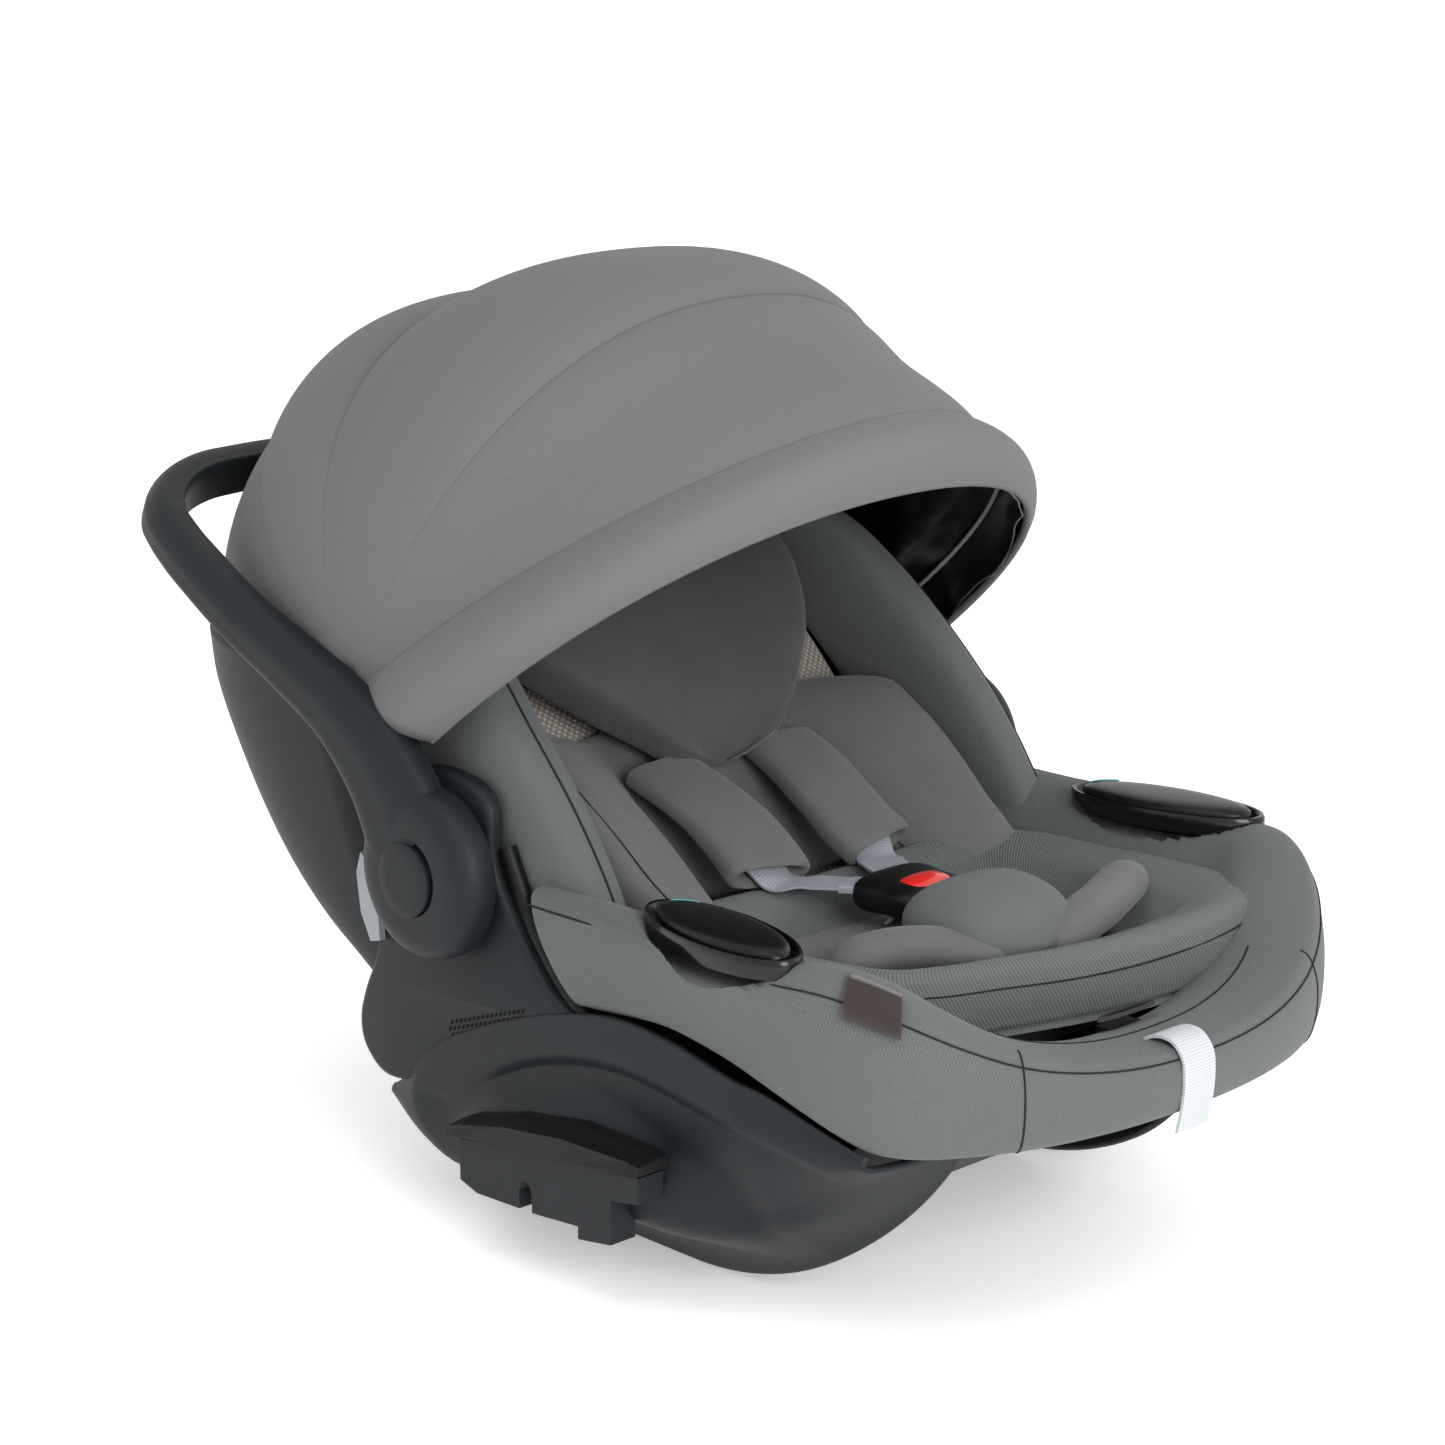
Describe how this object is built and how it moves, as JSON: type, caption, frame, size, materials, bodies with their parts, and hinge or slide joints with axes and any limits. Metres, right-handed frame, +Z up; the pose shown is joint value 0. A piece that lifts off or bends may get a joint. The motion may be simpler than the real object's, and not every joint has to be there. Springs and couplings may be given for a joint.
{
  "type": "infant car seat",
  "caption": "Rear-facing infant carrier with rocker shell, swinging carry handle, folding canopy with visor, padded rim, newborn insert and five-point harness.",
  "frame": {"origin": "on the floor under the middle of the bounding box, with the handle laid back", "axes": "+Z up, +Y towards the backrest, -Y towards the child's feet, +X towards the child's left"},
  "size_m": [0.443, 0.662, 0.5049],
  "materials": {
    "charcoal_plastic": "fine moulded grain, satin",
    "grey_hook_plastic": "satin",
    "steel": "plain zinc",
    "canopy_fabric": "smooth matt woven cloth",
    "canopy_lining": "satin lining",
    "knit_fabric": "heathered fine knit",
    "gloss_black_plastic": "polished",
    "label_fabric": "woven tape, blank",
    "foam": "expanded foam",
    "mesh_fabric": "open spacer mesh",
    "suede_fabric": "brushed suede-like jersey",
    "webbing": "woven polyester",
    "pale_webbing": "woven polyester",
    "tongue_plastic": "satin",
    "red_plastic": "gloss"
  },
  "bodies": {
    "root": {"lower_shell": "charcoal_plastic", "back_shell": "charcoal_plastic", "side_panel_left": "charcoal_plastic", "side_panel_right": "charcoal_plastic", "hub_post_left": "charcoal_plastic", "hub_post_right": "charcoal_plastic", "adaptor_cap_left": "charcoal_plastic", "adaptor_cap_right": "charcoal_plastic", "adaptor_block_left": "charcoal_plastic", "adaptor_block_right": "charcoal_plastic", "canopy_mount_left": "charcoal_plastic", "canopy_mount_right": "charcoal_plastic", "buckle_body": "charcoal_plastic", "belt_guide_left": "grey_hook_plastic", "belt_guide_right": "grey_hook_plastic", "lock_gear_left": "steel", "lock_gear_right": "steel", "pivot_bolt_left": "steel", "pivot_bolt_right": "steel", "canopy_rear": "canopy_fabric", "bow_rear": "canopy_lining", "side_cover_left": "knit_fabric", "side_cover_right": "knit_fabric", "front_cover": "knit_fabric", "wing_pad_left": "knit_fabric", "wing_pad_right": "knit_fabric", "seat_cushion": "knit_fabric", "crotch_pad": "knit_fabric", "lever_pocket_left": "gloss_black_plastic", "lever_pocket_right": "gloss_black_plastic", "side_label": "label_fabric", "foam_liner": "foam", "back_cushion": "mesh_fabric", "insert_side_left": "suede_fabric", "insert_side_right": "suede_fabric", "insert_back": "suede_fabric", "insert_seat": "suede_fabric", "shoulder_pad_left": "suede_fabric", "shoulder_pad_right": "suede_fabric", "shoulder_strap_left": "webbing", "shoulder_strap_right": "webbing", "crotch_strap": "webbing", "adjuster_strap": "pale_webbing", "tongue_left": "tongue_plastic", "tongue_right": "tongue_plastic"},
    "handle": {"handle_arm_left": "charcoal_plastic", "handle_arm_right": "charcoal_plastic", "handle_bar": "charcoal_plastic"},
    "left_hub_button": {"hub_button_left": "charcoal_plastic"},
    "right_hub_button": {"hub_button_right": "charcoal_plastic"},
    "canopy_middle": {"canopy_mid": "canopy_fabric", "bow_mid": "canopy_lining"},
    "canopy_brim": {"canopy_front": "canopy_fabric", "bow_front": "canopy_lining", "canopy_visor": "canopy_fabric"},
    "left_lever": {"release_lever_left": "gloss_black_plastic"},
    "right_lever": {"release_lever_right": "gloss_black_plastic"},
    "head_support": {"headrest": "suede_fabric"},
    "buckle_release": {"buckle_button": "red_plastic"},
    "strap_release": {"adjuster_button": "charcoal_plastic"}
  },
  "joints": [
    {"name": "handle_swing", "type": "hinge", "parent": "root", "child": "handle", "pos_m": [0, 0.03058, 0.207], "axis": [1, 0, 0], "range_deg": [0, 120]},
    {"name": "left_hub_press", "type": "slide", "parent": "handle", "child": "left_hub_button", "axis": [-1, 0, 0], "range_m": [0, 0.005], "stiffness_N_per_m": 600, "springref_m": -0.003},
    {"name": "right_hub_press", "type": "slide", "parent": "handle", "child": "right_hub_button", "axis": [1, 0, 0], "range_m": [0, 0.005], "stiffness_N_per_m": 600, "springref_m": -0.003},
    {"name": "canopy_fold", "type": "hinge", "parent": "root", "child": "canopy_middle", "pos_m": [0, 0.10759, 0.287], "axis": [-1, 0, 0], "range_deg": [0, 35]},
    {"name": "canopy_fold_front", "type": "hinge", "parent": "canopy_middle", "child": "canopy_brim", "pos_m": [0, 0.10759, 0.287], "axis": [-1, 0, 0], "range_deg": [0, 38]},
    {"name": "left_lever_lift", "type": "hinge", "parent": "root", "child": "left_lever", "pos_m": [0.166, -0.20741, 0.213], "axis": [1, 0, 0], "range_deg": [0, 12], "stiffness_Nm_per_rad": 1.5, "springref_deg": -8.59},
    {"name": "right_lever_lift", "type": "hinge", "parent": "root", "child": "right_lever", "pos_m": [-0.166, -0.20741, 0.213], "axis": [1, 0, 0], "range_deg": [0, 12], "stiffness_Nm_per_rad": 1.5, "springref_deg": -8.59},
    {"name": "headrest_slide", "type": "slide", "parent": "root", "child": "head_support", "axis": [0, 0.7071, 0.7071], "range_m": [0, 0.07]},
    {"name": "buckle_press", "type": "slide", "parent": "root", "child": "buckle_release", "axis": [0, 0, -1], "range_m": [0, 0.004], "stiffness_N_per_m": 900, "springref_m": -0.003},
    {"name": "strap_release_press", "type": "slide", "parent": "root", "child": "strap_release", "axis": [0, 0, -1], "range_m": [0, 0.003], "stiffness_N_per_m": 900, "springref_m": -0.003}
  ],
  "couplings": [
    {"joint": "canopy_fold_front", "follows": "canopy_fold", "ratio": 1.0857}
  ]
}
